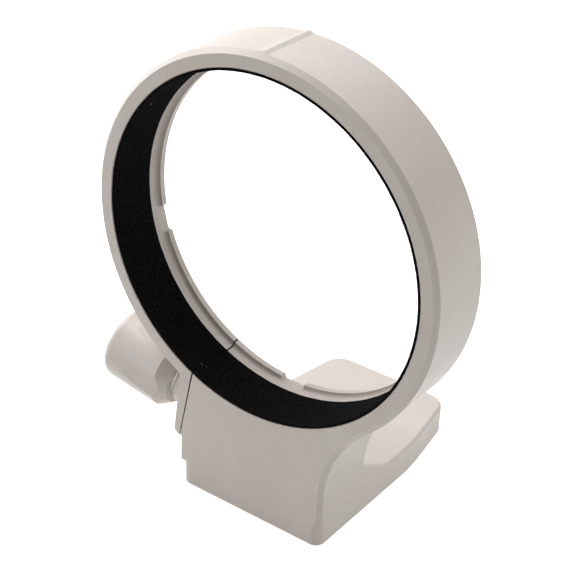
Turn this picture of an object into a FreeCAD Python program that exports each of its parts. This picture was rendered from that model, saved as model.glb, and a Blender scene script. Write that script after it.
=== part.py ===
import FreeCAD, Part
import Sketcher
import math
import os

# Lens tripod collar: a cast ring with its foot, a felt lining and a clamp knob.
# Millimetres. The lens axis runs along Y through the origin, -Y is the front,
# +Z is up, and the foot hangs below the ring and reaches out behind it.

doc = FreeCAD.newDocument("lens_tripod_collar")
sheet = doc.addObject("Spreadsheet::Sheet", "Sizes")

SIZES = [
    ("ring_width", 17.8, "ring along the lens axis"),
    ("bore_radius", 42.5, "metal bore that carries the felt"),
    ("ring_wall", 4.2, "bore to outer surface"),
    ("front_chamfer", 1.1, "bevel round the front outline"),
    ("edge_break", 0.3, "small bevel on the ring's rear edge"),
    ("bore_edge", 0.2, "bevel on the bore's front edge"),
    ("lip_height", 1.3, "rear lip, inwards from the bore"),
    ("lip_thickness", 1.8, "rear lip, along the lens axis"),
    ("lip_bevel", 0.3, "bevel inside the rear lip"),
    ("lip_cove", 0.9, "hollow corner between the bore and the lip"),
    ("cove_bands", 3, "flat bands that make the hollow corner"),
    ("notch_width", 6.6, "gap in the rear lip for a lens key"),
    ("notch_root", 0.7, "rounding at the bottom of a gap"),
    ("notch_corner", 0.4, "rounding of the lip beside a gap"),
    ("side_notch_angle", 195.4, "gap at the left, from +X"),
    ("bottom_notch_angle", 270.4, "gap at the bottom, from +X"),
    ("ridge_angle", 90.5, "index ridge on top, from +X"),
    ("ridge_height", 0.45, "index ridge above the ring"),
    ("ridge_slope", 2.4, "long flank of the index ridge"),
    ("ridge_step", 1.1, "short flank of the index ridge"),
    ("ridge_fade", 0.05, "end of the long flank, below the ring's top"),
    ("felt_thickness", 0.7, "felt strip"),
    ("felt_width", 12.9, "felt strip along the lens axis"),
    ("glue_line", 0.02, "between felt and bore, bush and bore"),
    ("felt_joint", 0.1, "between the felt's ends, in the split"),
    ("foot_height", 25.3, "ring's outer surface down to the sole"),
    ("foot_half_width", 21.0, "foot across, at the ring"),
    ("foot_length", 62.9, "foot from front to rear"),
    ("block_share", 0.7, "top of the foot's block inside the ring, share of the bore radius"),
    ("plate_share", 0.45, "foot plate before it is hollowed, share of the bore radius"),
    ("plate_thickness", 8.0, "foot plate behind the ring"),
    ("toe_height", 6.8, "rounded toe at the bottom of the front"),
    ("toe_radius", 2.6, "upright corners of the toe"),
    ("toe_depth", 6.0, "toe along the lens axis"),
    ("side_straight", 41.0, "foot side, front to where it narrows"),
    ("side_taper", 9.1, "how much each side turns inwards, degrees"),
    ("side_blend", 62.0, "rounding where the side narrows"),
    ("rear_corner", 5.5, "rear corners of the plate, in plan"),
    ("plate_edge", 0.9, "rounding of the plate's upper edge"),
    ("sole_edge", 0.4, "bevel round the sole"),
    ("ramp_slope", 30.2, "ramp from the plate up to the ring, degrees"),
    ("ramp_foot", 11.1, "where the ramp would meet the plate, behind the ring"),
    ("ramp_blend", 12.0, "hollow between ramp and plate"),
    ("flank_radius", 31.7, "hollow from the ring down to the foot side"),
    ("seam_inset", 17.625, "split on the bore, from the axis"),
    ("seam_lean", 11.2, "split, degrees off upright"),
    ("seam_gap_bore", 0.36, "split at the bore"),
    ("seam_gap_end", 0.14, "split at the foot side"),
    ("seam_share", 0.1, "split starts this far inside the bore, share of its radius"),
    ("lug_top_inset", 21.55, "lug's outer face at the ring, from the axis"),
    ("lug_inner_inset", 18.9, "lug's inner side, hidden in the ring's wall"),
    ("lug_inner_share", 0.94, "the same corner's drop, share of the bore radius"),
    ("lug_end_inset", 23.4, "lug's outer face at its end, from the axis"),
    ("lug_length", 11.4, "ring's outer surface down to the lug's end"),
    ("lug_end_round", 1.5, "rounded end of the lug"),
    ("lug_root_round", 2.6, "hollow between ring and lug"),
    ("screw_side", 22.7, "screw axis on the lug's outer face, from the lens axis"),
    ("screw_below", 2.0, "the same point, below the ring's outer surface"),
    ("screw_tilt", 9.0, "screw axis rises outwards, degrees"),
    ("boss_radius", 6.3, "round boss on the lug"),
    ("boss_height", 3.1, "boss outside the lug's face"),
    ("boss_sink", 1.3, "boss's root inside the lug"),
    ("screw_radius", 2.95, "M6 clamp screw"),
    ("running_gap", 0.08, "screw in its plain holes"),
    ("thread_gap", 0.05, "screw in its threaded bush"),
    ("screw_pitch", 1.0, "M6 clamp screw"),
    ("knob_turns", 2.5, "turns until the clip stops the screw"),
    ("clip_inset", 2.5, "clip's inner side below the lug's face"),
    ("clip_thickness", 0.6, "retaining clip"),
    ("clip_groove", 0.7, "depth of the clip's groove"),
    ("clip_radius", 4.2, "retaining clip"),
    ("clip_mouth", 3.4, "opening of the clip"),
    ("clip_room", 0.4, "round the clip in its recess"),
    ("clip_end_room", 0.1, "clip to the recess floor at the stop"),
    ("bush_inset", 3.3, "threaded bush below the lug's face"),
    ("bush_length", 10.0, "threaded bush in the foot"),
    ("bush_radius", 4.0, "threaded bush"),
    ("screw_end_room", 1.6, "hole beyond the screw's end"),
    ("screw_end_bevel", 0.5, "screw's end"),
    ("friction_washer_thickness", 0.6, "nylon washer"),
    ("friction_washer_radius", 6.1, "nylon washer"),
    ("thrust_washer_thickness", 0.9, "steel washer"),
    ("thrust_washer_radius", 6.0, "steel washer"),
    ("knob_radius", 9.55, "knob drum"),
    ("knob_length", 19.9, "knob overall"),
    ("knob_face_radius", 7.25, "knob's inner face"),
    ("knob_shoulder", 2.9, "sloping shoulder along the knob"),
    ("knob_round", 1.8, "rounded outer rim"),
    ("rim_bands", 4, "flat bands that make the rounded rim"),
    ("knob_crown", 4.5, "slope of the outer face up to its middle, degrees"),
    ("knob_flat", 2.0, "flat middle of the outer face"),
    ("flute_count", 5, "finger hollows round the knob"),
    ("flute_radius", 20.0, "each finger hollow"),
    ("flute_depth", 0.85, "hollow at the knob's shoulder"),
    ("flute_length", 11.0, "hollow, from the shoulder to where it fades"),
    ("flute_phase", -91.5, "first hollow, turned about the knob's axis from the top"),
    ("screw_head_radius", 3.6, "knurled head held in the knob"),
    ("screw_head_length", 12.0, "knurled head held in the knob"),
    ("tripod_hole_back", 28.0, "tripod thread, behind the front face"),
    ("tripod_bush_radius", 5.0, "threaded bush in the sole"),
    ("tripod_bush_length", 7.2, "threaded bush in the sole"),
    ("tripod_thread_radius", 3.175, "1/4 inch tripod thread"),
    ("tripod_drill_radius", 2.6, "drilled end of the tripod hole"),
    ("tripod_bevel", 0.45, "mouth of the tripod thread"),
    ("tripod_end_room", 0.6, "hole above the tripod bush"),
    ("overrun", 1.0, "a cut runs this far past the face that it opens"),
]
for row, (alias, number, note) in enumerate(SIZES, start=1):
    sheet.set(f"A{row}", alias)
    sheet.set(f"B{row}", str(number))
    sheet.set(f"C{row}", note)
    sheet.setAlias(f"B{row}", alias)
doc.recompute()


# A size known both as a number and as a formula of the sheet's cells
class Size:
    def __init__(self, number, formula):
        self.number = number
        self.formula = formula

    def __add__(self, other):
        other = as_size(other)
        return Size(self.number + other.number, f"({self.formula} + {other.formula})")

    def __sub__(self, other):
        other = as_size(other)
        return Size(self.number - other.number, f"({self.formula} - {other.formula})")

    def __mul__(self, other):
        other = as_size(other)
        return Size(self.number * other.number, f"({self.formula} * {other.formula})")

    def __truediv__(self, other):
        other = as_size(other)
        return Size(self.number / other.number, f"({self.formula} / {other.formula})")

    def __neg__(self):
        return Size(-self.number, f"(0 - {self.formula})")


def as_size(value):
    if isinstance(value, Size):
        return value
    return Size(float(value), repr(float(value)))


def cell(alias):
    return Size(float(sheet.get(alias)), f"Sizes.{alias}")


def sine(angle):
    return Size(math.sin(math.radians(angle.number)), f"sin({angle.formula} * 1 deg)")


def cosine(angle):
    return Size(math.cos(math.radians(angle.number)), f"cos({angle.formula} * 1 deg)")


def tangent(angle):
    return Size(math.tan(math.radians(angle.number)), f"tan({angle.formula} * 1 deg)")


def arcsine(ratio):
    return Size(math.degrees(math.asin(ratio.number)), f"(asin({ratio.formula}) / 1 deg)")


def root(square):
    return Size(math.sqrt(square.number), f"sqrt({square.formula})")


# Driving sizes that several pieces share
half_width = cell("ring_width") / 2
front = -half_width
rear = half_width
outer_radius = cell("bore_radius") + cell("ring_wall")
lip_radius = cell("bore_radius") - cell("lip_height")
sole = -outer_radius - cell("foot_height")
plate_top = sole + cell("plate_thickness")
toe_top = sole + cell("toe_height")
foot_side = cell("foot_half_width")
foot_rear = front + cell("foot_length")
blend_length = cell("ramp_blend") * tangent(cell("ramp_slope") / 2)
ramp_end = rear + cell("ramp_foot") + blend_length
screw_drop = outer_radius + cell("screw_below")
lug_end_drop = outer_radius + cell("lug_length")
screw_hole_radius = cell("screw_radius") + cell("running_gap")
thread_hole_radius = cell("screw_radius") + cell("thread_gap")
bush_hole_radius = cell("bush_radius") + cell("glue_line")
seam_x = -cell("seam_inset")
seam_z = -root(cell("bore_radius") * cell("bore_radius") - seam_x * seam_x)
clip_top = cell("clip_thickness") - cell("clip_inset")
knob_travel = cell("knob_turns") * cell("screw_pitch")
recess_floor = clip_top + knob_travel + cell("clip_end_room")
screw_tip = -cell("bush_inset") - cell("bush_length")
washer_top = cell("boss_height") + cell("friction_washer_thickness")
knob_start = washer_top + cell("thrust_washer_thickness")
knob_end = knob_start + cell("knob_length")


# Bodies, sketches and features
def new_body(label):
    body = doc.addObject("PartDesign::Body", label)
    body.Label = label
    return body


def origin_plane(body, role):
    return [item for item in body.Origin.OriginFeatures if item.Role == role][0]


def bind(item, name, size):
    item.setExpression(name, as_size(size).formula)


def new_sketch(body, name, role, along=None, right=None, up=None, turn=None):
    """Sketch on an origin plane, moved along its normal, right and up, and turned."""
    sketch = body.newObject("Sketcher::SketchObject", name)
    sketch.AttachmentSupport = (origin_plane(body, role), [""])
    sketch.MapMode = "FlatFace"
    moves = [as_size(part if part is not None else 0) for part in (right, up, along)]
    angle = as_size(turn if turn is not None else 0)
    base = FreeCAD.Vector(*[part.number for part in moves])
    spin = FreeCAD.Rotation(FreeCAD.Vector(0, 0, 1), angle.number)
    sketch.AttachmentOffset = FreeCAD.Placement(base, spin)
    for axis, given, part in zip("xyz", (right, up, along), moves):
        if given is not None:
            bind(sketch, f"AttachmentOffset.Base.{axis}", part)
    if turn is not None:
        bind(sketch, "AttachmentOffset.Rotation.Angle", angle)
    return sketch


def fix_point(sketch, geometry, end, right, up):
    """Hold one end of a line or arc at two sizes from the sketch's origin."""
    for kind, size in (("DistanceX", as_size(right)), ("DistanceY", as_size(up))):
        index = sketch.addConstraint(Sketcher.Constraint(kind, -1, 1, geometry, end, size.number))
        bind(sketch, f"Constraints[{index}]", size)


def tangent_arc(start, end, direction):
    """Arc from start to end that leaves along direction, and whether it turns left."""
    across = FreeCAD.Vector(-direction.y, direction.x, 0).normalize()
    chord = end - start
    reach = chord.dot(chord) / (2 * chord.dot(across))
    centre = start + across * reach
    circle = Part.Circle(centre, FreeCAD.Vector(0, 0, 1), abs(reach))
    first, last = (start, end) if reach > 0 else (end, start)
    angles = [math.atan2(point.y - centre.y, point.x - centre.x) for point in (first, last)]
    if angles[1] < angles[0]:
        angles[1] += 2 * math.pi
    return Part.ArcOfCircle(circle, *angles), reach > 0


def draw_outline(sketch, corners):
    """Closed outline of lines; a corner marked "arc" starts an arc tangent to its line."""
    points = [FreeCAD.Vector(as_size(c[0]).number, as_size(c[1]).number, 0) for c in corners]
    runs = []
    for i, corner in enumerate(corners):
        start, end = points[i], points[(i + 1) % len(points)]
        if len(corner) > 2:
            arc, turns_left = tangent_arc(start, end, start - points[i - 1])
            ends = (1, 2) if turns_left else (2, 1)
            runs.append((sketch.addGeometry(arc, False), *ends))
        else:
            runs.append((sketch.addGeometry(Part.LineSegment(start, end), False), 1, 2))
    for i, corner in enumerate(corners):
        before, here = runs[i - 1], runs[i]
        kind = "Tangent" if len(corner) > 2 else "Coincident"
        sketch.addConstraint(Sketcher.Constraint(kind, before[0], before[2], here[0], here[1]))
        fix_point(sketch, here[0], here[1], corner[0], corner[1])


def draw_circle(sketch, radius, right=0, up=0):
    middle = FreeCAD.Vector(as_size(right).number, as_size(up).number, 0)
    circle = Part.Circle(middle, FreeCAD.Vector(0, 0, 1), radius.number)
    index = sketch.addGeometry(circle, False)
    fix_point(sketch, index, 3, right, up)
    held = sketch.addConstraint(Sketcher.Constraint("Radius", index, radius.number))
    bind(sketch, f"Constraints[{held}]", radius)


def settle(feature):
    """Recompute, and stop where the feature has failed."""
    doc.recompute()
    if "Invalid" in feature.State or "Error" in feature.State:
        raise RuntimeError(f"{feature.Label} failed: {feature.getStatusString()}")
    return feature


def pad(body, name, sketch, length, backwards=False):
    feature = body.newObject("PartDesign::Pad", name)
    feature.Profile = sketch
    feature.Reversed = backwards
    feature.Length = as_size(length).number
    bind(feature, "Length", length)
    return settle(feature)


def cut(body, name, sketch, length, backwards=False, both_ways=False):
    """Pocket that has to take material away."""
    before = body.Shape.Volume
    feature = body.newObject("PartDesign::Pocket", name)
    feature.Profile = sketch
    feature.Reversed = backwards
    feature.Midplane = both_ways
    feature.Length = as_size(length).number
    bind(feature, "Length", length)
    settle(feature)
    if body.Shape.Volume >= before:
        raise RuntimeError(f"{name} cuts nothing")
    return feature


def revolve(body, name, sketch, axis, angle=360, take_away=False):
    before = body.Shape.Volume if take_away else 0
    kind = "PartDesign::Groove" if take_away else "PartDesign::Revolution"
    feature = body.newObject(kind, name)
    feature.Profile = sketch
    feature.ReferenceAxis = (sketch, [axis])
    feature.Angle = as_size(angle).number
    if isinstance(angle, Size):
        bind(feature, "Angle", angle)
    settle(feature)
    if take_away and body.Shape.Volume >= before:
        raise RuntimeError(f"{name} cuts nothing")
    return feature


def dress(body, kind, name, size, wanted):
    """Fillet or Chamfer on the edges that a test picks."""
    base = body.Tip
    names = [f"Edge{i}" for i, edge in enumerate(base.Shape.Edges, start=1) if wanted(edge)]
    if not names:
        raise RuntimeError(f"{name} finds no edge")
    feature = body.newObject(f"PartDesign::{kind}", name)
    feature.Base = (base, names)
    size_name = "Radius" if kind == "Fillet" else "Size"
    setattr(feature, size_name, size.number)
    bind(feature, size_name, size)
    return settle(feature)


def near(value, size, slack=0.01):
    return abs(value - as_size(size).number) < slack


def flat_at_y(edge, size):
    return near(edge.BoundBox.YMin, size) and near(edge.BoundBox.YMax, size)


def flat_at_z(edge, size):
    return near(edge.BoundBox.ZMin, size) and near(edge.BoundBox.ZMax, size)


def upright(edge):
    box = edge.BoundBox
    return box.XLength < 0.01 and box.YLength < 0.01


def distance_from_lens_axis(point):
    return math.hypot(point.x, point.z)


# Cast ring, foot and clamp lug, one casting
collar = new_body("collar_body")

sketch = new_sketch(collar, "ring_outline", "XZ_Plane", along=half_width)
draw_circle(sketch, outer_radius)
pad(collar, "ring", sketch, cell("ring_width"), backwards=True)

block_top = -cell("bore_radius") * cell("block_share")
sketch = new_sketch(collar, "block_outline", "XZ_Plane", along=half_width)
draw_outline(sketch, [
    (-foot_side, toe_top),
    (foot_side, toe_top),
    (foot_side, block_top),
    (-foot_side, block_top),
])
pad(collar, "block", sketch, cell("ring_width"), backwards=True)


def right_root(edge):
    middle = edge.CenterOfMass
    along_y = edge.BoundBox.YLength > cell("ring_width").number - 0.01
    return along_y and near(middle.x, foot_side) and near(distance_from_lens_axis(middle), outer_radius)


dress(collar, "Fillet", "right_flank", cell("flank_radius"), right_root)


def outline_at(face):
    """Test for the outline's edges in one end face: ring, flank and right side."""
    def test(edge):
        middle = edge.valueAt((edge.FirstParameter + edge.LastParameter) / 2)
        on_ring = near(distance_from_lens_axis(middle), outer_radius)
        return flat_at_y(edge, face) and (on_ring or middle.x > foot_side.number - 0.01)
    return test


dress(collar, "Chamfer", "front_bevel", cell("front_chamfer"), outline_at(front))
dress(collar, "Chamfer", "rear_edge_break", cell("edge_break"), outline_at(rear))

# The toe below the bevel has rounded upright corners
sketch = new_sketch(collar, "toe_outline", "XY_Plane", along=sole)
toe_rear = front + cell("toe_depth")
toe_round = front + cell("toe_radius")
toe_side = foot_side - cell("toe_radius")
draw_outline(sketch, [
    (-toe_side, front),
    (toe_side, front, "arc"),
    (foot_side, toe_round),
    (foot_side, toe_rear),
    (-foot_side, toe_rear),
    (-foot_side, toe_round, "arc"),
])
pad(collar, "toe", sketch, cell("toe_height"))

# Foot plate: straight sides that narrow to the rear, hollowed up to the ring behind it
taper_start = front + cell("side_straight")
taper_inset = (foot_rear - taper_start) * tangent(cell("side_taper"))
plate_front = front + cell("toe_depth") / 2
plate_reach = cell("bore_radius") * cell("plate_share")
sketch = new_sketch(collar, "plate_outline", "XY_Plane", along=sole)
draw_outline(sketch, [
    (-foot_side, plate_front),
    (foot_side, plate_front),
    (foot_side, taper_start),
    (foot_side - taper_inset, foot_rear),
    (taper_inset - foot_side, foot_rear),
    (-foot_side, taper_start),
])
pad(collar, "plate", sketch, plate_reach)


def taper_corner(edge):
    return upright(edge) and near(edge.CenterOfMass.y, taper_start)


def rear_corner(edge):
    return upright(edge) and near(edge.CenterOfMass.y, foot_rear)


dress(collar, "Fillet", "side_blend_rounding", cell("side_blend"), taper_corner)
dress(collar, "Fillet", "rear_corner_rounding", cell("rear_corner"), rear_corner)

# Seen from the side, an arc joins the plate's top to the ramp
ramp_start = rear + cell("ramp_foot") - blend_length * cosine(cell("ramp_slope"))
ramp_low = plate_top + blend_length * sine(cell("ramp_slope"))
ramp_top = plate_top + cell("ramp_foot") * tangent(cell("ramp_slope"))
beyond = foot_rear + cell("rear_corner")
above = sole + plate_reach + cell("plate_thickness")
sketch = new_sketch(collar, "hollow_side_view", "YZ_Plane")
draw_outline(sketch, [
    (rear, above),
    (beyond, above),
    (beyond, plate_top),
    (ramp_end, plate_top, "arc"),
    (ramp_start, ramp_low),
    (rear, ramp_top),
])
cut(collar, "hollow", sketch, (foot_side + cell("overrun")) * 2, both_ways=True)


def plate_upper_edge(edge):
    box = edge.BoundBox
    on_plate = flat_at_z(edge, plate_top) and not flat_at_y(edge, ramp_end)
    on_side = near(box.XMin, box.XMax) and near(abs(box.XMin), foot_side)
    on_ramp = on_side and box.YMin > rear.number - 0.01 and 0.01 < box.ZLength < box.YLength
    return on_ramp or (on_plate and box.YMin > ramp_end.number - 0.01)


dress(collar, "Fillet", "plate_edge_rounding", cell("plate_edge"), plate_upper_edge)

# Clamp lug, an ear of the ring that hangs beside the block
sketch = new_sketch(collar, "lug_outline", "XZ_Plane", along=half_width)
lug_top = -cell("bore_radius") * cell("lug_inner_share")
draw_outline(sketch, [
    (-cell("lug_top_inset"), lug_top),
    (-cell("lug_end_inset"), -lug_end_drop),
    (-foot_side, -lug_end_drop),
    (-cell("lug_inner_inset"), lug_top),
])
pad(collar, "lug", sketch, cell("ring_width"), backwards=True)


def lug_tip(edge):
    middle = edge.CenterOfMass
    at_tip = near(middle.x, -cell("lug_end_inset")) and near(middle.z, -lug_end_drop)
    return at_tip and edge.BoundBox.YLength > 1


def lug_root(edge):
    middle = edge.CenterOfMass
    along_y = edge.BoundBox.YLength > cell("ring_width").number / 2
    at_lug = near(middle.x, -cell("lug_top_inset"), 1.5) and middle.z < 0
    return along_y and at_lug and near(distance_from_lens_axis(middle), outer_radius)


dress(collar, "Fillet", "lug_tip_rounding", cell("lug_end_round"), lug_tip)
dress(collar, "Fillet", "lug_root_rounding", cell("lug_root_round"), lug_root)


def new_screw_sketch(name):
    """Sketch whose X axis is the screw's axis, outwards from the lug's face."""
    across, down = -cell("screw_side"), -screw_drop
    outwards = as_size(180) - cell("screw_tilt")
    return new_sketch(collar, name, "XZ_Plane", right=across, up=down, turn=outwards)


# Round boss that the washers bear on, square to the screw
sketch = new_screw_sketch("boss_half")
draw_outline(sketch, [
    (-cell("boss_sink"), 0),
    (cell("boss_height"), 0),
    (cell("boss_height"), cell("boss_radius")),
    (-cell("boss_sink"), cell("boss_radius")),
])
revolve(collar, "boss", sketch, "H_Axis")

# Bore and rear lip
sketch = new_sketch(collar, "lip_bore_outline", "XZ_Plane", along=half_width)
draw_circle(sketch, lip_radius)
cut(collar, "lip_bore", sketch, cell("ring_width"))
sketch = new_sketch(collar, "bore_outline", "XZ_Plane", along=half_width)
draw_circle(sketch, cell("bore_radius"))
cut(collar, "bore", sketch, cell("ring_width") - cell("lip_thickness"))


def bore_front_edge(edge):
    return flat_at_y(edge, front) and near(edge.BoundBox.XMax, cell("bore_radius"))


dress(collar, "Chamfer", "bore_edge_break", cell("bore_edge"), bore_front_edge)

# Bands hollow out the corner between the bore and the lip
lip_front = rear - cell("lip_thickness")
cove = cell("lip_cove")
cove_bands = int(cell("cove_bands").number)
hollow = []
for band in range(cove_bands + 1):
    turn = as_size(90) * (band / cove_bands)
    across = cell("bore_radius") - cove + cove * cosine(turn)
    hollow.append((across, lip_front - cove + cove * sine(turn)))
sketch = new_sketch(collar, "lip_cove_section", "XY_Plane")
draw_outline(sketch, [
    *hollow,
    (cell("bore_radius") - cove, lip_front + cove / 2),
    (cell("bore_radius") + cove / 2, lip_front + cove / 2),
    (cell("bore_radius") + cove / 2, lip_front - cove),
])
revolve(collar, "lip_cove", sketch, "V_Axis")


def lip_rear_edge(edge):
    return flat_at_y(edge, rear) and near(edge.BoundBox.XMax, lip_radius)


dress(collar, "Chamfer", "lip_bevelling", cell("lip_bevel"), lip_rear_edge)

# Two gaps in the lip, at unequal angles, let the keys of the lens barrel pass
for name in ("side", "bottom"):
    angle = cell(f"{name}_notch_angle")
    sketch = new_sketch(collar, f"{name}_notch_outline", "XZ_Plane", along=-half_width, turn=angle)
    notch_half = cell("notch_width") / 2
    notch_inner = lip_radius - cell("lip_height")
    notch_shoulder = cell("bore_radius") - cell("notch_root")
    notch_floor_half = notch_half - cell("notch_root")
    draw_outline(sketch, [
        (notch_inner, -notch_half),
        (notch_shoulder, -notch_half, "arc"),
        (cell("bore_radius"), -notch_floor_half),
        (cell("bore_radius"), notch_floor_half, "arc"),
        (notch_shoulder, notch_half),
        (notch_inner, notch_half),
    ])
    cut(collar, f"{name}_notch", sketch, cell("lip_thickness") + cove, backwards=True)


def notch_corner_edge(edge):
    box = edge.BoundBox
    on_lip = near(distance_from_lens_axis(edge.CenterOfMass), lip_radius, 0.05)
    return on_lip and box.XLength < 0.05 and box.ZLength < 0.05 and 0.3 < box.YLength


dress(collar, "Fillet", "notch_rounding", cell("notch_corner"), notch_corner_edge)

# Index ridge across the top of the ring
ridge_front = half_width - cell("front_chamfer")
sketch = new_sketch(collar, "ridge_outline", "XZ_Plane", along=ridge_front, turn=cell("ridge_angle"))
ridge_root = outer_radius - cell("ridge_height")
draw_outline(sketch, [
    (ridge_root, cell("ridge_slope")),
    (ridge_root, -cell("ridge_step")),
    (outer_radius, -cell("ridge_step")),
    (outer_radius + cell("ridge_height"), 0),
    (outer_radius - cell("ridge_fade"), cell("ridge_slope")),
])
ridge_length = ridge_front + half_width - cell("edge_break")
pad(collar, "index_ridge", sketch, ridge_length, backwards=True)

# The front bevel goes on across the ridge
ridge_clear = cell("ridge_height") + cell("overrun")
bevel_end = front + cell("front_chamfer")
sketch = new_sketch(collar, "ridge_bevel_section", "XY_Plane")
draw_outline(sketch, [
    (outer_radius, bevel_end),
    (outer_radius + ridge_clear, bevel_end),
    (outer_radius + ridge_clear, bevel_end + ridge_clear),
])
revolve(collar, "ridge_bevel", sketch, "V_Axis", take_away=True)

# The split runs from the bore down to the left side of the foot
seam_slope = tangent(cell("seam_lean"))
seam_reach = cell("bore_radius") * cell("seam_share")
seam_end_z = seam_z - (foot_side + seam_x) / seam_slope
seam_bottom = -lug_end_drop - cell("lug_end_round")
seam_top_x = seam_x + seam_reach * seam_slope
sketch = new_sketch(collar, "split_outline", "XZ_Plane", along=half_width)
draw_outline(sketch, [
    (seam_top_x, seam_z + seam_reach),
    (-foot_side, seam_end_z),
    (-foot_side, seam_bottom),
    (-foot_side - cell("seam_gap_end"), seam_bottom),
    (-foot_side - cell("seam_gap_end"), seam_end_z),
    (seam_top_x - cell("seam_gap_bore"), seam_z + seam_reach),
])
cut(collar, "split", sketch, cell("ring_width"))

# Stepped hole for the clamp screw: lug, clip recess, threaded bush, room for the tip
sketch = new_screw_sketch("screw_hole_half")
recess_radius = cell("clip_radius") + cell("clip_room")
hole_end = screw_tip - cell("screw_end_room")
draw_outline(sketch, [
    (hole_end, 0),
    (hole_end, screw_hole_radius),
    (screw_tip, screw_hole_radius),
    (screw_tip, bush_hole_radius),
    (-cell("bush_inset"), bush_hole_radius),
    (-cell("bush_inset"), recess_radius),
    (recess_floor, recess_radius),
    (recess_floor, screw_hole_radius),
    (cell("boss_height") + cell("overrun"), screw_hole_radius),
    (cell("boss_height") + cell("overrun"), 0),
])
revolve(collar, "screw_hole", sketch, "H_Axis", take_away=True)

# Stepped hole in the sole for the tripod bush
tripod_y = front + cell("tripod_hole_back")
tripod_hole_radius = cell("tripod_bush_radius") + cell("glue_line")
sketch = new_sketch(collar, "tripod_hole_outline", "XY_Plane", along=sole)
draw_circle(sketch, tripod_hole_radius, 0, tripod_y)
cut(collar, "tripod_hole", sketch, cell("tripod_bush_length"), backwards=True)
sketch = new_sketch(collar, "tripod_relief_outline", "XY_Plane", along=sole)
draw_circle(sketch, cell("tripod_drill_radius"), 0, tripod_y)
cut(collar, "tripod_relief", sketch, cell("tripod_bush_length") + cell("tripod_end_room"), backwards=True)


def sole_rim(edge):
    middle = edge.CenterOfMass
    on_hole = math.hypot(middle.x, middle.y - tripod_y.number) < tripod_hole_radius.number
    return flat_at_z(edge, sole) and not on_hole


dress(collar, "Chamfer", "sole_bevelling", cell("sole_edge"), sole_rim)


# Felt strip glued round the bore; its ends meet at the split
felt = new_body("felt_lining")
felt_outer = cell("bore_radius") - cell("glue_line")
felt_inner = cell("bore_radius") - cell("felt_thickness")
split_middle = arcsine((cell("seam_inset") + cell("seam_gap_bore") / 2) / cell("bore_radius"))
felt_gap_angle = cell("felt_joint") / cell("bore_radius") * (180 / math.pi)
sketch = new_sketch(felt, "felt_section", "XY_Plane")
felt_rear = front + cell("felt_width")
draw_outline(sketch, [
    (felt_inner, front),
    (felt_outer, front),
    (felt_outer, felt_rear),
    (felt_inner, felt_rear),
])
revolve(felt, "felt_strip", sketch, "V_Axis", angle=as_size(360) - felt_gap_angle)
felt_turn = as_size(90) + split_middle + felt_gap_angle / 2
felt_spin = FreeCAD.Rotation(FreeCAD.Vector(0, 1, 0), felt_turn.number)
felt.Placement = FreeCAD.Placement(FreeCAD.Vector(0, 0, 0), felt_spin)
bind(felt, "Placement.Rotation.Angle", felt_turn)


# Pieces on the clamp screw stand on their own Z axis, which then lies along the screw
def on_screw_axis(body):
    body.Placement = FreeCAD.Placement(
        FreeCAD.Vector(-cell("screw_side").number, 0, -screw_drop.number),
        FreeCAD.Rotation(FreeCAD.Vector(0, -1, 0), 90 - cell("screw_tilt").number),
    )
    bind(body, "Placement.Base.x", -cell("screw_side"))
    bind(body, "Placement.Base.z", -screw_drop)
    bind(body, "Placement.Rotation.Angle", as_size(90) - cell("screw_tilt"))


def turned(label, corners):
    """A piece turned about its own Z axis from (radius, height) corners."""
    body = new_body(label)
    sketch = new_sketch(body, f"{label}_half", "XZ_Plane")
    draw_outline(sketch, corners)
    revolve(body, f"{label}_turned", sketch, "V_Axis")
    return body


def washer(label, inner, outer, low, high):
    return turned(label, [(inner, low), (outer, low), (outer, high), (inner, high)])


# Threaded bush in the foot for the clamp screw
bush_top = -cell("bush_inset")
clamp_insert = washer("clamp_insert", thread_hole_radius, cell("bush_radius"), screw_tip, bush_top)
on_screw_axis(clamp_insert)

# Nylon washer on the boss and steel washer under the knob
nylon_radius = cell("friction_washer_radius")
friction_washer = washer("friction_washer", screw_hole_radius, nylon_radius, cell("boss_height"), washer_top)
on_screw_axis(friction_washer)
steel_radius = cell("thrust_washer_radius")
thrust_washer = washer("thrust_washer", screw_hole_radius, steel_radius, washer_top, knob_start)
on_screw_axis(thrust_washer)

# Clamp screw, with a groove for its clip and a head held inside the knob
groove_radius = cell("screw_radius") - cell("clip_groove")
screw_head_end = knob_start + cell("screw_head_length")
screw = turned("clamp_screw", [
    (0, screw_tip),
    (cell("screw_radius") - cell("screw_end_bevel"), screw_tip),
    (cell("screw_radius"), screw_tip + cell("screw_end_bevel")),
    (cell("screw_radius"), -cell("clip_inset")),
    (groove_radius, -cell("clip_inset")),
    (groove_radius, clip_top),
    (cell("screw_radius"), clip_top),
    (cell("screw_radius"), knob_start),
    (cell("screw_head_radius"), knob_start),
    (cell("screw_head_radius"), screw_head_end),
    (0, screw_head_end),
])
on_screw_axis(screw)

# Retaining clip, open on one side, in the screw's groove
clip_hole = groove_radius + cell("glue_line")
clip = washer("retaining_clip", clip_hole, cell("clip_radius"), -cell("clip_inset"), clip_top)
sketch = new_sketch(clip, "clip_mouth_outline", "XY_Plane", along=-cell("clip_inset"))
mouth_half = cell("clip_mouth") / 2
draw_outline(sketch, [
    (0, -mouth_half),
    (cell("clip_radius") + cell("overrun"), -mouth_half),
    (cell("clip_radius") + cell("overrun"), mouth_half),
    (0, mouth_half),
])
cut(clip, "clip_opening", sketch, cell("clip_thickness"), backwards=True)
on_screw_axis(clip)

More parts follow.
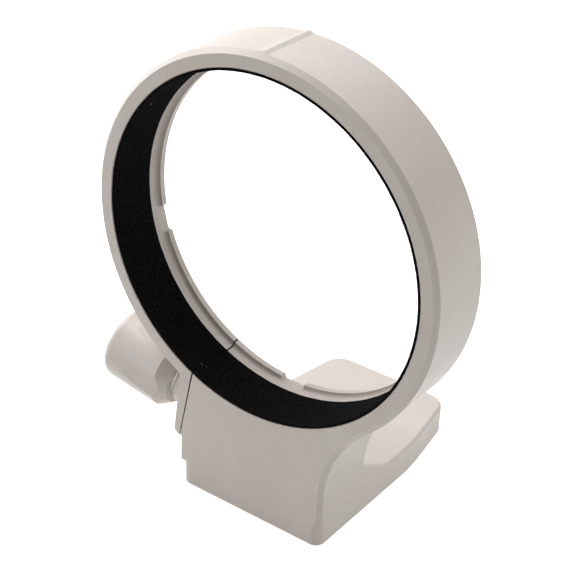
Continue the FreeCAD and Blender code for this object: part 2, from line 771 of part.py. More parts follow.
# Knob: a drum with a sloping inner shoulder, a rounded rim and a low crown.
# Short bands make the rim, because a round one takes most of the part's facets.
knob = new_body("clamp_knob")
shoulder_end = knob_start + cell("knob_shoulder")
head_hole = cell("screw_head_radius") + cell("glue_line")
rim_round = cell("knob_round")
rim_centre = cell("knob_radius") - rim_round
crown_slope = cell("knob_crown")
crown_run = rim_centre + rim_round * sine(crown_slope) - cell("knob_flat")
rim_start = knob_end - crown_run * tangent(crown_slope) - rim_round * cosine(crown_slope)
bands = int(cell("rim_bands").number)
rim = []
for band in range(bands + 1):
    turn = (as_size(90) - crown_slope) * (band / bands)
    rim.append((rim_centre + rim_round * cosine(turn), rim_start + rim_round * sine(turn)))
sketch = new_sketch(knob, "knob_half", "XZ_Plane")
draw_outline(sketch, [
    (head_hole, knob_start),
    (cell("knob_face_radius"), knob_start),
    (cell("knob_radius"), shoulder_end),
    *rim,
    (cell("knob_flat"), knob_end),
    (0, knob_end),
    (0, screw_head_end),
    (head_hole, screw_head_end),
])
revolve(knob, "knob_turned", sketch, "V_Axis")

# A finger hollow leans, so that it is deepest at the shoulder and fades along the drum
sketch = new_sketch(knob, "flute_half", "XZ_Plane")
flute_turn = FreeCAD.Rotation(FreeCAD.Vector(0, 1, 0), cell("flute_phase").number)
sketch.AttachmentOffset = FreeCAD.Placement(FreeCAD.Vector(0, 0, 0), flute_turn)
bind(sketch, "AttachmentOffset.Rotation.Angle", cell("flute_phase"))
flute_low = knob_start - cell("knob_shoulder")
flute_rise = cell("flute_length") + cell("knob_shoulder") * 2
flute_lean = cell("flute_depth") / cell("flute_length")
flute_shoulder_x = cell("knob_radius") - cell("flute_depth") + cell("flute_radius")
flute_low_x = flute_shoulder_x - (shoulder_end - flute_low) * flute_lean
flute_high_x = flute_low_x + flute_rise * flute_lean
draw_outline(sketch, [
    (flute_low_x, flute_low),
    (flute_high_x, flute_low + flute_rise),
    (flute_high_x - cell("flute_radius"), flute_low + flute_rise),
    (flute_low_x - cell("flute_radius"), flute_low),
])
groove = revolve(knob, "flute", sketch, "Edge1", take_away=True)
pattern = knob.newObject("PartDesign::PolarPattern", "flutes")
pattern.Originals = [groove]
pattern.Axis = (sketch, ["V_Axis"])
pattern.Angle = 360
pattern.Occurrences = int(cell("flute_count").number)
bind(pattern, "Occurrences", cell("flute_count"))
knob.Tip = pattern
settle(pattern)
on_screw_axis(knob)

# Tripod bush in the sole
tripod_bushing = turned("tripod_bushing", [
    (cell("tripod_thread_radius") + cell("tripod_bevel"), sole),
    (cell("tripod_bush_radius"), sole),
    (cell("tripod_bush_radius"), sole + cell("tripod_bush_length")),
    (cell("tripod_thread_radius"), sole + cell("tripod_bush_length")),
    (cell("tripod_thread_radius"), sole + cell("tripod_bevel")),
])
tripod_place = FreeCAD.Vector(0, tripod_y.number, 0)
tripod_bushing.Placement = FreeCAD.Placement(tripod_place, FreeCAD.Rotation())
bind(tripod_bushing, "Placement.Base.y", tripod_y)
doc.recompute()

# Every object has to be sound before a file is written
for item in doc.Objects:
    if "Invalid" in item.State or "Error" in item.State:
        raise RuntimeError(f"{item.Label} failed: {item.State}")
os.makedirs("parts", exist_ok=True)
pieces = [item for item in doc.Objects if item.TypeId == "PartDesign::Body"]
for piece in pieces:
    if piece.Shape.isNull() or not piece.Shape.isValid():
        raise RuntimeError(f"{piece.Label} has no sound shape")
    print(piece.Label, "solids", len(piece.Shape.Solids), "volume", round(piece.Shape.Volume, 1))
for piece in pieces:
    piece.Shape.exportStep(f"parts/{piece.Label}.step")
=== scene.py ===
# %% [markdown]
# # A lens tripod collar
#
# A collar like this carries a long lens on a tripod. One casting is the ring, the foot
# and the clamp lug. It is painted a warm white. Black felt lines the bore, and a knob
# on a captive screw closes the split at the lower left.
#
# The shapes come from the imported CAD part, which sets where each piece lies. This
# lesson adds what CAD leaves plain: paint, felt, turned metal, threads and light.

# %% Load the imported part
import math
import random

import bpy
from mathutils import Matrix, Vector


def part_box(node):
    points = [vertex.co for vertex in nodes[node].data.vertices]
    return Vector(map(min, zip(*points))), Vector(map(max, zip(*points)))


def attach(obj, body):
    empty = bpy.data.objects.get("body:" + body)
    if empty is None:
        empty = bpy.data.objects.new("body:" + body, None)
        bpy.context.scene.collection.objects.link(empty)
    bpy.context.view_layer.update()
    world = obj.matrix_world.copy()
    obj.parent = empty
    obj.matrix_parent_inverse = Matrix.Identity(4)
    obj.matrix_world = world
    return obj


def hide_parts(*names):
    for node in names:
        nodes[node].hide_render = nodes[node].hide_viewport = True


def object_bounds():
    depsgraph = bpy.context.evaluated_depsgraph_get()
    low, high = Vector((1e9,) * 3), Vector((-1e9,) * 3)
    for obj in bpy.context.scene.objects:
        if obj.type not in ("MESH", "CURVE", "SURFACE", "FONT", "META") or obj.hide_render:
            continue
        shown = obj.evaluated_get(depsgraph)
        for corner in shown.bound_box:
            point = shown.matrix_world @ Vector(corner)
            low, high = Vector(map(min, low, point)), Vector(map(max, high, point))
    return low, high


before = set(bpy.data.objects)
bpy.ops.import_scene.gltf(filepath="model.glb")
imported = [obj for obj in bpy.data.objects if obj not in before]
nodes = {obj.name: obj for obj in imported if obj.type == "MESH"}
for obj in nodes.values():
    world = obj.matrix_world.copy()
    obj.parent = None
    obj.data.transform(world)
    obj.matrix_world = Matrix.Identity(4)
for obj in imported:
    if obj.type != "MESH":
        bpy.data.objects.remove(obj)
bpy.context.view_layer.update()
MM = 0.001
print("pieces", sorted(nodes))

# %% [markdown]
# ## The camera
#
# The camera's place was worked out from the ring's two circles and the foot's edges.
# It stands a little to the right, 30 degrees up, and it is tipped by about 2 degrees.
# A long lens of 95 mm keeps the ring nearly free of distortion.

# %% The camera
CAMERA_PLACE = Vector((0.173669, -0.241485, 0.161151))
TURN, RISE, ROLL = math.radians(35.418), math.radians(30.119), math.radians(2.409)
back = Vector((math.sin(TURN) * math.cos(RISE), -math.cos(TURN) * math.cos(RISE), math.sin(RISE)))
level_right = Vector((0, 0, 1)).cross(back).normalized()
level_up = back.cross(level_right)
right = level_right * math.cos(ROLL) + level_up * math.sin(ROLL)
up = level_up * math.cos(ROLL) - level_right * math.sin(ROLL)

bpy.ops.object.camera_add()
camera = bpy.context.object
camera.matrix_world = Matrix.Translation(CAMERA_PLACE) @ Matrix((right, up, back)).transposed().to_4x4()
camera.data.lens = 95.476
camera.data.sensor_width = 36
camera.data.clip_start = 0.01
bpy.context.scene.camera = camera
print("camera", [round(value, 3) for value in CAMERA_PLACE])

# %% [markdown]
# ## Building materials from nodes
#
# Every finish here is a small network of shader nodes. Two helpers keep the networks
# short: one starts a material, and one adds a node, sets it and joins its inputs.

# %% Helpers for materials
def start_material(name, **shader_settings):
    """A new material, its node tree and its Principled shader with plain values set."""
    material = bpy.data.materials.new(name)
    material.use_nodes = True
    tree = material.node_tree
    shader = tree.nodes["Principled BSDF"]
    for key, value in shader_settings.items():
        shader.inputs[key.replace("_", " ")].default_value = value
    return material, tree, shader


def add_node(tree, kind, inputs=None, **settings):
    """Add a shader node; inputs maps a socket's name or number to a value or to another socket."""
    made = tree.nodes.new("ShaderNode" + kind)
    for key, value in settings.items():
        setattr(made, key, value)
    for key, value in (inputs or {}).items():
        if isinstance(value, bpy.types.NodeSocket):
            tree.links.new(value, made.inputs[key])
        else:
            made.inputs[key].default_value = value
    return made


def object_place(tree):
    """Where a point lies on the piece, in metres."""
    return add_node(tree, "TexCoord").outputs["Object"]


def noise(tree, place, scale, detail=2.0, roughness=0.5):
    sockets = {"Vector": place, "Scale": scale, "Detail": detail, "Roughness": roughness}
    return add_node(tree, "TexNoise", sockets).outputs["Fac"]


def remap(tree, value, low, high, to_low, to_high):
    sockets = {"Value": value, "From Min": low, "From Max": high, "To Min": to_low, "To Max": to_high}
    return add_node(tree, "MapRange", sockets).outputs["Result"]


def arithmetic(tree, operation, first, second=0.0):
    return add_node(tree, "Math", {0: first, 1: second}, operation=operation).outputs["Value"]


def blend_colours(tree, share, first, second):
    sockets = {"Factor": share, "A": first, "B": second}
    return add_node(tree, "Mix", sockets, data_type="RGBA").outputs["Result"]


def bump(tree, height, distance, strength=1.0, onto=None):
    sockets = {"Height": height, "Distance": distance, "Strength": strength}
    if onto is not None:
        sockets["Normal"] = onto
    return add_node(tree, "Bump", sockets).outputs["Normal"]


def spot(tree, place, centre, radius):
    """1 inside a small ragged spot on the surface, 0 outside it; centre and radius in mm."""
    reach = radius * MM
    ragged = add_node(tree, "TexNoise", {"Vector": place, "Scale": 1800.0, "Detail": 2.0}).outputs["Color"]
    push = {0: ragged, "Scale": 0.9 * reach}
    shift = add_node(tree, "VectorMath", push, operation="SCALE").outputs["Vector"]
    moved = add_node(tree, "VectorMath", {0: place, 1: shift}, operation="ADD").outputs["Vector"]
    middle = Vector(centre) * MM + Vector((1, 1, 1)) * 0.45 * reach
    away = add_node(tree, "VectorMath", {0: moved, 1: middle}, operation="DISTANCE").outputs["Value"]
    return remap(tree, away, 0.8 * reach, 1.2 * reach, 1.0, 0.0)


def dress(node_name, material):
    """Give a CAD node its finished material."""
    nodes[node_name].data.materials.clear()
    nodes[node_name].data.materials.append(material)


# %% [markdown]
# ## The paint
#
# The casting and the knob carry a semi-matt, warm white enamel. It is sprayed over a
# finely blasted casting, so it has a soft orange-peel skin with a finer grain in it,
# and its gloss changes a little from place to place. The colour drifts by one or two
# percent, as sprayed paint does. All of it comes from noise in the piece's own space,
# so that it stays on the metal from any view.
#
# The casting also has a few tiny flaws: dark flecks on the ring and on the foot's side,
# one of them with a pale rim. The walls of the split carry painted shade: they are coloured
# nearly black for the shade that falls deep in the narrow cut, so the split reads as a dark line.

# %% The white paint
# Painted shade, nearly black, for the walls of the narrow split
SPLIT_SHADE = (0.006, 0.006, 0.006, 1)


def enamel(name, seed, flecks=(), split=None):
    """Warm white paint with an orange-peel skin; seed shifts the pattern from piece to piece."""
    material, tree, shader = start_material(name, Metallic=0.0, IOR=1.5)
    own_place = object_place(tree)
    shift = (seed, 0.3 * seed, 0)
    place = add_node(tree, "Mapping", {"Vector": own_place, "Location": shift}).outputs["Vector"]
    clouds = noise(tree, place, 55.0, 3.0, 0.6)
    mottle = noise(tree, place, 700.0, 3.0, 0.65)
    warm = (0.735, 0.665, 0.612, 1)
    pale = (0.765, 0.700, 0.650, 1)
    tone = blend_colours(tree, remap(tree, clouds, 0.35, 0.65, 0.0, 1.0), warm, pale)
    tone = blend_colours(tree, remap(tree, mottle, 0.30, 0.72, 0.16, 0.0), tone, (0.60, 0.54, 0.49, 1))
    for centre, radius, colour in flecks:
        tone = blend_colours(tree, spot(tree, own_place, centre, radius), tone, colour)
    gloss = remap(tree, noise(tree, place, 260.0, 2.0), 0.3, 0.7, 0.36, 0.46)
    # Painted shade: the split's walls, and a thin line beside them, turn nearly black for the shade deep
    # in the cut
    if split:
        across, bore_end, half_gap = split
        off = add_node(tree, "VectorMath", {0: own_place, 1: Vector(bore_end) * MM}, operation="SUBTRACT")
        away = add_node(tree, "VectorMath", {0: off.outputs["Vector"], 1: across}, operation="DOT_PRODUCT")
        height = add_node(tree, "SeparateXYZ", {0: off.outputs["Vector"]}).outputs["Z"]
        narrows = arithmetic(tree, "MULTIPLY", height, -0.006)
        near = arithmetic(tree, "ADD", arithmetic(tree, "ABSOLUTE", away.outputs["Value"]), narrows)
        inside = remap(tree, near, half_gap * MM, (half_gap + 0.03) * MM, 1.0, 0.0)
        below = remap(tree, height, 2.5 * MM, 2.2 * MM, 0.0, 1.0)
        tone = blend_colours(tree, arithmetic(tree, "MULTIPLY", inside, below), tone, SPLIT_SHADE)
    tree.links.new(tone, shader.inputs["Base Color"])
    tree.links.new(gloss, shader.inputs["Roughness"])
    skin = bump(tree, noise(tree, place, 900.0, 2.0, 0.5), 0.00004, 0.55)
    grain = bump(tree, noise(tree, place, 5200.0, 3.0, 0.7), 0.000012, 0.6, onto=skin)
    tree.links.new(grain, shader.inputs["Normal"])
    return material


FLECK_DARK = (0.07, 0.06, 0.05, 1)
FLECK_PALE = (0.92, 0.90, 0.87, 1)
CASTING_FLECKS = [
    ((21.0, 10.0, -64.8), 0.30, FLECK_PALE),
    ((21.0, 10.0, -64.8), 0.17, FLECK_DARK),
    ((21.0, 27.1, -70.0), 0.12, FLECK_PALE),
    ((34.9, -8.9, -29.6), 0.11, FLECK_DARK),
    ((38.5, -8.9, -25.8), 0.10, FLECK_DARK),
]
SPLIT_ACROSS = (0.981, 0.0, -0.194)
SPLIT_AT_BORE = (-17.8, 0.0, -38.6)
casting_paint = enamel("casting_paint", 0.0, CASTING_FLECKS, (SPLIT_ACROSS, SPLIT_AT_BORE, 0.2))
knob_paint = enamel("knob_paint", 0.7)
dress("collar_body", casting_paint)
dress("clamp_knob", knob_paint)
print("paint flecks", len(CASTING_FLECKS))

# %% [markdown]
# ## Helpers for modelling
#
# A new piece starts as a primitive at its size and place. Each helper first deselects
# everything, because the loaded CAD nodes are selected and an operator would act on
# them too. A profile is drawn as a plane, shaped, and then turned round an axis.

# %% Helpers for modelling
def settle(piece, body):
    """Apply a piece's place, so its origin is at zero, and let it ride on its body."""
    bpy.ops.object.select_all(action="DESELECT")
    piece.select_set(True)
    bpy.context.view_layer.objects.active = piece
    bpy.ops.object.transform_apply(location=True, rotation=True, scale=True)
    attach(piece, body)
    faces = sum(len(polygon.vertices) - 2 for polygon in piece.data.polygons)
    print(piece.name, "triangles", faces)


def close_ends():
    """Close the open ends of the active mesh and turn its faces outwards."""
    bpy.ops.object.mode_set(mode="EDIT")
    bpy.ops.mesh.select_mode(type="EDGE")
    bpy.ops.mesh.select_all(action="DESELECT")
    open_edges_only = {"use_wire": False, "use_multi_face": False, "use_non_contiguous": False}
    bpy.ops.mesh.select_non_manifold(extend=False, **open_edges_only)
    bpy.ops.mesh.edge_face_add()
    bpy.ops.mesh.select_all(action="SELECT")
    bpy.ops.mesh.normals_make_consistent(inside=False)
    bpy.ops.object.mode_set(mode="OBJECT")


def plane_profile(name, corners):
    """A plane primitive whose corners are moved to four points (x, y, z), in metres."""
    bpy.ops.object.select_all(action="DESELECT")
    bpy.ops.mesh.primitive_plane_add(size=1)
    piece = bpy.context.object
    piece.name = name
    piece.data.name = name
    order = [piece.data.polygons[0].vertices[index] for index in range(4)]
    for vertex, corner in zip(order, corners):
        piece.data.vertices[vertex].co = corner
    return piece


# %% [markdown]
# ## The felt
#
# The felt is short black wool, pressed and glued in. It is a strip, bent round the bore
# until its ends meet in the split. A flat profile with rounded corners is spun round the
# lens axis, and a fine cloud texture then pushes its surface in and out, so its edge is
# a little rough, as cut felt is. The CAD strip stays behind it for collision, hidden.

# %% The felt strip
felt_low, felt_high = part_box("felt_lining")
FRONT = felt_low.y
METAL_BORE = 42.5 * MM
FELT_RADII = (41.8 * MM, 42.46 * MM)
joint_angles = []
for polygon in nodes["felt_lining"].data.polygons:
    outward = Vector((polygon.center.x, 0, polygon.center.z)).normalized()
    if abs(polygon.normal.y) < 0.1 and abs(polygon.normal.dot(outward)) < 0.3:
        joint_angles.append(math.atan2(polygon.center.z, polygon.center.x))
joint_angle = sum(joint_angles) / len(joint_angles)
joint_width = 0.1 * MM / FELT_RADII[1]
FELT_CORNERS = [
    (FELT_RADII[0], felt_low.y, 0),
    (FELT_RADII[1], felt_low.y, 0),
    (FELT_RADII[1], felt_high.y, 0),
    (FELT_RADII[0], felt_high.y, 0),
]
felt_strip = plane_profile("felt_strip", FELT_CORNERS)
bpy.ops.object.mode_set(mode="EDIT")
bpy.ops.mesh.select_all(action="SELECT")
bpy.ops.mesh.bevel(offset=0.22 * MM, segments=3, affect="VERTICES")
bpy.ops.mesh.delete(type="ONLY_FACE")
bpy.ops.mesh.select_all(action="DESELECT")
bpy.ops.mesh.select_mode(type="EDGE")
bpy.ops.object.mode_set(mode="OBJECT")
for edge in felt_strip.data.edges:
    first, second = (felt_strip.data.vertices[index].co for index in edge.vertices)
    edge.select = (first - second).length > 5 * MM
bpy.ops.object.mode_set(mode="EDIT")
bpy.ops.mesh.subdivide(number_cuts=27)
bpy.ops.mesh.select_all(action="SELECT")
bpy.ops.mesh.spin(steps=900, angle=math.tau - joint_width, center=(0, 0, 0), axis=(0, 1, 0))
bpy.ops.object.mode_set(mode="OBJECT")
close_ends()
felt_strip.rotation_euler = (0, joint_width / 2 - joint_angle, 0)
bpy.ops.object.transform_apply(rotation=True)
FELT_ROUGHNESS = [("felt_waves", 2.2 * MM, 0.10 * MM), ("felt_tangle", 0.35 * MM, 0.07 * MM)]
for texture_name, size, strength in FELT_ROUGHNESS:
    texture = bpy.data.textures.new(texture_name, "CLOUDS")
    texture.noise_scale = size
    rough = felt_strip.modifiers.new(texture_name, "DISPLACE")
    rough.texture = texture
    rough.texture_coords = "LOCAL"
    rough.strength = strength
    rough.mid_level = 0.55
    bpy.ops.object.modifier_apply(modifier=texture_name)
bpy.ops.object.shade_smooth()
settle(felt_strip, "collar")
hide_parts("felt_lining")
print("felt joint, degrees", round(math.degrees(joint_angle), 2))

# %% [markdown]
# ## The felt's loose fibres and lint
#
# Loose fibres stand out of the cut front edge and the face of any felt, and they soften
# its outline. Each is a thin curve with four points. A few pale hairs of lint lie on
# the felt, where the photograph shows them.

# %% Fibres and lint
draws = random.Random(11)


def bore_point(angle, inset, depth):
    """A point by its angle from +X, its distance inside the metal bore and behind the front."""
    reach = METAL_BORE - inset
    return Vector((reach * math.cos(angle), FRONT + depth, reach * math.sin(angle)))


def hairs(name, routes, thickness):
    """One mesh of many thin hairs, each along its own route."""
    curve = bpy.data.curves.new(name, "CURVE")
    curve.dimensions = "3D"
    curve.bevel_depth = thickness
    curve.bevel_resolution = 0
    curve.use_fill_caps = True
    for route in routes:
        spline = curve.splines.new("POLY")
        spline.points.add(len(route) - 1)
        for point, place, width in zip(spline.points, route, (1.0, 1.0, 0.8, 0.35)):
            point.co = (*place, 1)
            point.radius = width
    piece = bpy.data.objects.new(name, curve)
    bpy.context.collection.objects.link(piece)
    bpy.ops.object.select_all(action="DESELECT")
    piece.select_set(True)
    bpy.context.view_layer.objects.active = piece
    bpy.ops.object.convert(target="MESH")
    bpy.ops.object.mode_set(mode="EDIT")
    bpy.ops.mesh.select_all(action="SELECT")
    bpy.ops.mesh.remove_doubles(threshold=0.0000005)
    bpy.ops.mesh.normals_make_consistent(inside=False)
    bpy.ops.object.mode_set(mode="OBJECT")
    return bpy.context.object


def fibre(angle, depth, length):
    """A bent fibre that is rooted in the felt and leans out of it."""
    root = bore_point(angle, 0.55 * MM, depth)
    inward = Vector((-math.cos(angle), 0, -math.sin(angle)))
    along = Vector((-math.sin(angle), 0, math.cos(angle)))
    forwards = Vector((0, -1, 0)) if depth < 1 * MM else Vector((0, draws.uniform(-1, 1), 0))
    lean = inward * draws.uniform(0.2, 0.9) + along * draws.uniform(-1, 1)
    lean += forwards * draws.uniform(0.1, 0.7)
    curl = along * draws.uniform(-0.5, 0.5) + forwards * draws.uniform(-0.3, 0.4)
    route = []
    for share in (0.0, 0.4, 0.7, 1.0):
        route.append(root + (lean * share + curl * share * share) * length)
    return route


EDGE_FIBRES = (520, (0.05, 0.5), (0.25, 0.6))
FACE_FIBRES = (900, (1.0, 12.3), (0.25, 0.55))
fibre_routes = []
for count, depths, lengths in (EDGE_FIBRES, FACE_FIBRES):
    for _ in range(count):
        fibre_angle = draws.uniform(0, math.tau)
        fibre_depth = draws.uniform(*depths) * MM
        fibre_length = draws.uniform(*lengths) * MM
        fibre_routes.append(fibre(fibre_angle, fibre_depth, fibre_length))
felt_fibres = hairs("felt_fibres", fibre_routes, 0.012 * MM)
settle(felt_fibres, "collar")

LINT = [(143.5, 3.8, 1.2), (245.3, 3.3, 0.9), (246.0, 4.2, 0.7)]
lint_routes = []
for angle_degrees, depth, length in LINT:
    angle = math.radians(angle_degrees)
    along = Vector((-math.sin(angle), 0, math.cos(angle)))
    root = bore_point(angle, 0.74 * MM, depth * MM)
    inward = Vector((-math.cos(angle), 0, -math.sin(angle)))
    way = along * draws.uniform(-1, 1) + Vector((0, 1, 0)) * draws.uniform(-1, 1)
    way.normalize()
    side = way.cross(inward)
    route = []
    for share in (0.0, 0.35, 0.7, 1.0):
        across = (way * share + side * share * (1 - share) * 0.9) * length * MM
        route.append(root + across + inward * 0.12 * MM * math.sin(share * math.pi))
    lint_routes.append(route)
felt_lint = hairs("felt_lint", lint_routes, 0.035 * MM)
settle(felt_lint, "collar")

# %% [markdown]
# ## The felt's finish
#
# A close look at black felt shows tangled fibres that catch light only at a grazing
# angle. So it gets a little sheen, a coarse bump from noise for the tangle, and a few
# pale specks of dust.

# %% The felt's material
felt, tree, shader = start_material("black_felt", Roughness=0.95, Sheen_Weight=0.03, Sheen_Roughness=0.5)
shader.inputs["Specular IOR Level"].default_value = 0.0
place = object_place(tree)
tangle = noise(tree, place, 1500.0, 4.0, 0.7)
tufts = noise(tree, place, 420.0, 3.0, 0.6)
DEEP_BLACK, WORN_BLACK = (0.003, 0.003, 0.0032, 1), (0.017, 0.017, 0.017, 1)
black = blend_colours(tree, remap(tree, tangle, 0.35, 0.75, 0.0, 1.0), DEEP_BLACK, WORN_BLACK)
dust = add_node(tree, "TexVoronoi", {"Vector": place, "Scale": 260.0}).outputs["Distance"]
dusty = blend_colours(tree, remap(tree, dust, 0.045, 0.02, 0.0, 0.45), black, (0.14, 0.14, 0.13, 1))
tree.links.new(dusty, shader.inputs["Base Color"])
pile = bump(tree, tufts, 0.00025, 0.7)
tree.links.new(bump(tree, tangle, 0.00012, 0.9, onto=pile), shader.inputs["Normal"])

lint_white, tree, shader = start_material("lint_white", Roughness=0.8)
cloudy = noise(tree, object_place(tree), 3000.0, 2.0)
lint_colour = blend_colours(tree, cloudy, (0.30, 0.29, 0.27, 1), (0.62, 0.60, 0.57, 1))
tree.links.new(lint_colour, shader.inputs["Base Color"])
for piece, material in ((felt_strip, felt), (felt_fibres, felt), (felt_lint, lint_white)):
    piece.data.materials.clear()
    piece.data.materials.append(material)
dress("felt_lining", felt)

# %% [markdown]
# ## The tripod bush and its thread
#
# The steel bush in the sole takes a quarter-inch tripod screw. The CAD bush is a plain
# sleeve, so here it gets a real thread: a bar with a cut-off V section is swept up a
# helix by the Screw modifier, closed at both ends, and joined to a sleeve that is turned
# from its own profile. The bar's back lies in the sleeve's wall.

# %% The tripod bush
bush_low, bush_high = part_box("tripod_bushing")
BUSH_MIDDLE = ((bush_low.x + bush_high.x) / 2, (bush_low.y + bush_high.y) / 2, bush_low.z)
BUSH_LENGTH = bush_high.z - bush_low.z
BUSH_RADIUS = 5.0 * MM
PITCH = 1.27 * MM
THREAD_RADIUS, CREST_RADIUS = 3.175 * MM, 2.6 * MM


def turn_round(piece, steps, rise=0.0, turns=1):
    """Sweep a profile round its Z axis with the Screw modifier and apply it."""
    screw = piece.modifiers.new("turn", "SCREW")
    screw.axis = "Z"
    screw.steps = steps
    screw.render_steps = steps
    screw.screw_offset = rise
    screw.iterations = turns
    screw.use_merge_vertices = rise == 0.0
    screw.merge_threshold = 0.000001
    bpy.ops.object.modifier_apply(modifier="turn")
    bpy.ops.object.mode_set(mode="EDIT")
    bpy.ops.mesh.select_all(action="SELECT")
    bpy.ops.mesh.normals_make_consistent(inside=False)
    bpy.ops.object.mode_set(mode="OBJECT")


THREAD_START = 0.36 * MM
BAR_BACK = 3.32 * MM
MOUTH_BEVEL = 0.45 * MM
bar = [(BAR_BACK, 0, THREAD_START), (CREST_RADIUS, 0, THREAD_START + 0.46 * MM)]
bar += [(CREST_RADIUS, 0, THREAD_START + 0.62 * MM), (BAR_BACK, 0, THREAD_START + 1.08 * MM)]
thread = plane_profile("thread", bar)
bpy.ops.object.mode_set(mode="EDIT")
bpy.ops.mesh.select_all(action="SELECT")
bpy.ops.mesh.delete(type="ONLY_FACE")
bpy.ops.object.mode_set(mode="OBJECT")
turn_round(thread, 64, PITCH, 4)
close_ends()

sleeve = plane_profile("tripod_bush", [
    (THREAD_RADIUS + MOUTH_BEVEL, 0, 0),
    (BUSH_RADIUS, 0, 0),
    (BUSH_RADIUS, 0, BUSH_LENGTH),
    (THREAD_RADIUS, 0, BUSH_LENGTH),
])
bpy.ops.object.mode_set(mode="EDIT")
bpy.ops.mesh.select_all(action="SELECT")
bpy.ops.mesh.delete(type="ONLY_FACE")
bpy.ops.mesh.select_mode(type="EDGE")
bpy.ops.mesh.select_all(action="DESELECT")
bpy.ops.object.mode_set(mode="OBJECT")
for edge in sleeve.data.edges:
    first, second = (sleeve.data.vertices[index].co for index in edge.vertices)
    edge.select = max(first.x, second.x) < 4 * MM
bpy.ops.object.mode_set(mode="EDIT")
bpy.ops.mesh.subdivide(number_cuts=1)
bpy.ops.object.mode_set(mode="OBJECT")
for vertex in sleeve.data.vertices:
    if vertex.co.x < 4 * MM and 1 * MM < vertex.co.z < BUSH_LENGTH - 1 * MM:
        vertex.co = (THREAD_RADIUS, 0, MOUTH_BEVEL)
turn_round(sleeve, 96)
bpy.ops.object.select_all(action="DESELECT")
thread.select_set(True)
sleeve.select_set(True)
bpy.context.view_layer.objects.active = sleeve
bpy.ops.object.join()
tripod_bush = bpy.context.object
bpy.ops.object.shade_smooth_by_angle(angle=math.radians(32))
tripod_bush.location = BUSH_MIDDLE
settle(tripod_bush, "collar")
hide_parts("tripod_bushing")

# %% [markdown]
# ## Steel and nylon
#
# The washers, the bushes and the screw are turned on a lathe, so fine rings run round
# each axis. A wave texture gives the rings once a Mapping node has laid its Z axis on
# the piece's own. The friction washer is natural nylon, milky and a little warm.

# %% Turned steel and nylon
def turned_steel(name, centre, axis):
    """Steel with lathe rings round an axis; centre in metres."""
    material, tree, shader = start_material(name, Metallic=1.0)
    place = object_place(tree)
    tilt = Vector(axis).to_track_quat("Z", "Y").to_euler()
    laid = {"Vector": place, "Location": centre, "Rotation": tilt}
    round_axis = add_node(tree, "Mapping", laid, vector_type="TEXTURE").outputs["Vector"]
    wave = {"Vector": round_axis, "Scale": 1300.0, "Distortion": 1.2, "Detail": 2.0}
    rings = add_node(tree, "TexWave", wave, wave_type="RINGS", rings_direction="Z").outputs["Fac"]
    scuff = noise(tree, place, 2400.0, 3.0, 0.6)
    tone = blend_colours(tree, scuff, (0.50, 0.49, 0.47, 1), (0.66, 0.65, 0.63, 1))
    ringed = blend_colours(tree, remap(tree, rings, 0, 1, 0.0, 0.25), tone, (0.40, 0.39, 0.37, 1))
    tree.links.new(ringed, shader.inputs["Base Color"])
    tree.links.new(remap(tree, scuff, 0.3, 0.7, 0.26, 0.42), shader.inputs["Roughness"])
    lathe = bump(tree, rings, 0.000008, 0.6)
    tree.links.new(bump(tree, scuff, 0.00001, 0.5, onto=lathe), shader.inputs["Normal"])
    return material


SCREW_PLACE = (-22.7 * MM, 0.0, -48.7 * MM)
SCREW_AXIS = (-0.987688, 0.0, 0.156434)
clamp_steel = turned_steel("clamp_steel", SCREW_PLACE, SCREW_AXIS)
bush_steel = turned_steel("bush_steel", BUSH_MIDDLE, (0, 0, 1))
STEEL_ON_SCREW = ("clamp_screw", "clamp_insert", "retaining_clip", "thrust_washer")
for name in STEEL_ON_SCREW:
    dress(name, clamp_steel)
dress("tripod_bushing", bush_steel)
tripod_bush.data.materials.clear()
tripod_bush.data.materials.append(bush_steel)

nylon, tree, shader = start_material("natural_nylon", Roughness=0.45)
place = object_place(tree)
milky = noise(tree, place, 900.0, 2.0)
nylon_colour = blend_colours(tree, milky, (0.46, 0.43, 0.38, 1), (0.56, 0.53, 0.48, 1))
tree.links.new(nylon_colour, shader.inputs["Base Color"])
tree.links.new(bump(tree, milky, 0.00002, 0.4), shader.inputs["Normal"])
dress("friction_washer", nylon)
print("steel round the screw's axis", STEEL_ON_SCREW)

# %% [markdown]
# ## The studio
#
# The photograph is a product shot on seamless white. Its light comes from above, from
# behind and from both sides, while the camera's side is dimmer, so the faces turned to
# the camera are the darkest. The floor and the world look white to the camera and in
# reflections through the Light Path node, which adds no light to the collar, and a
# faint shadow stays.

# %% Floor and world
def seen_or_mirrored(tree):
    """1 for a ray from the camera or one that a glossy or clear surface sends on."""
    rays = add_node(tree, "LightPath").outputs
    direct = arithmetic(tree, "MAXIMUM", rays["Is Camera Ray"], rays["Is Glossy Ray"])
    return arithmetic(tree, "MAXIMUM", direct, rays["Is Transmission Ray"])


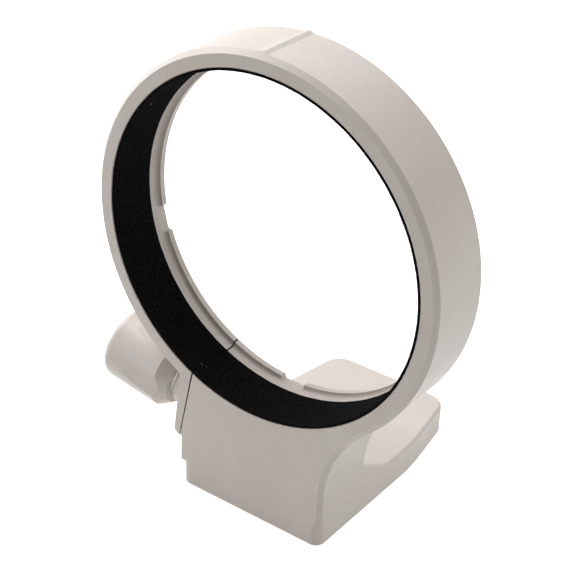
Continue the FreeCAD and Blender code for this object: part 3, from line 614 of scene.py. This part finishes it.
bpy.ops.object.select_all(action="DESELECT")
bpy.ops.mesh.primitive_plane_add(size=6, location=(0, 0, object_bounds()[0].z))
floor = bpy.context.object
floor.name = "floor"
floor_material, tree, shader = start_material("studio_floor", Roughness=0.9)
shader.inputs["Base Color"].default_value = (0.8, 0.8, 0.8, 1)
shader.inputs["Specular IOR Level"].default_value = 0.0
glow = add_node(tree, "Emission", {"Color": (1, 1, 1, 1), "Strength": 0.8})
sum_of_both = add_node(tree, "AddShader", {0: shader.outputs[0], 1: glow.outputs[0]})
floor_looks = {0: seen_or_mirrored(tree), 1: shader.outputs[0], 2: sum_of_both.outputs[0]}
look = add_node(tree, "MixShader", floor_looks)
tree.links.new(look.outputs[0], tree.nodes["Material Output"].inputs["Surface"])
floor.data.materials.append(floor_material)

world = bpy.data.worlds.new("studio")
bpy.context.scene.world = world
world.use_nodes = True
tree = world.node_tree
tree.nodes.clear()
dark = add_node(tree, "Background", {"Color": (1, 1, 1, 1), "Strength": 0.0})
white = add_node(tree, "Background", {"Color": (1, 1, 1, 1), "Strength": 1.0})
look = add_node(tree, "MixShader", {0: seen_or_mirrored(tree), 1: dark.outputs[0], 2: white.outputs[0]})
output = add_node(tree, "OutputWorld")
tree.links.new(look.outputs[0], output.inputs["Surface"])

# %% [markdown]
# ## The lamps
#
# Six soft area lamps share the work. Their powers were found by rendering each lamp
# alone and fitting the sum to the brightness of the painted faces in the photograph.

# %% The lamps
LAMPS = [
    ("back_lamp", (0.0, 0.75, 0.85), 0.9, 1.44),
    ("left_lamp", (-1.1, 0.0, 0.35), 0.9, 4.51),
    ("front_left_lamp", (-0.75, -0.85, 0.35), 0.9, 2.87),
    ("near_left_lamp", (-0.35, 0.0, 0.42), 0.3, 2.23),
    ("right_lamp", (0.55, 0.2, 0.75), 0.8, 3.75),
    ("low_right_lamp", (0.45, 0.05, -0.06), 0.35, 0.35),
]
for name, place, width, power in LAMPS:
    bpy.ops.object.light_add(type="AREA", location=place)
    lamp = bpy.context.object
    lamp.name = name
    lamp.data.size = width
    lamp.data.energy = power
    lamp.rotation_euler = (-Vector(place)).to_track_quat("-Z", "Y").to_euler()
    lamp.visible_camera = False
print("lamps", len(LAMPS))

bpy.context.scene.view_settings.view_transform = "Standard"
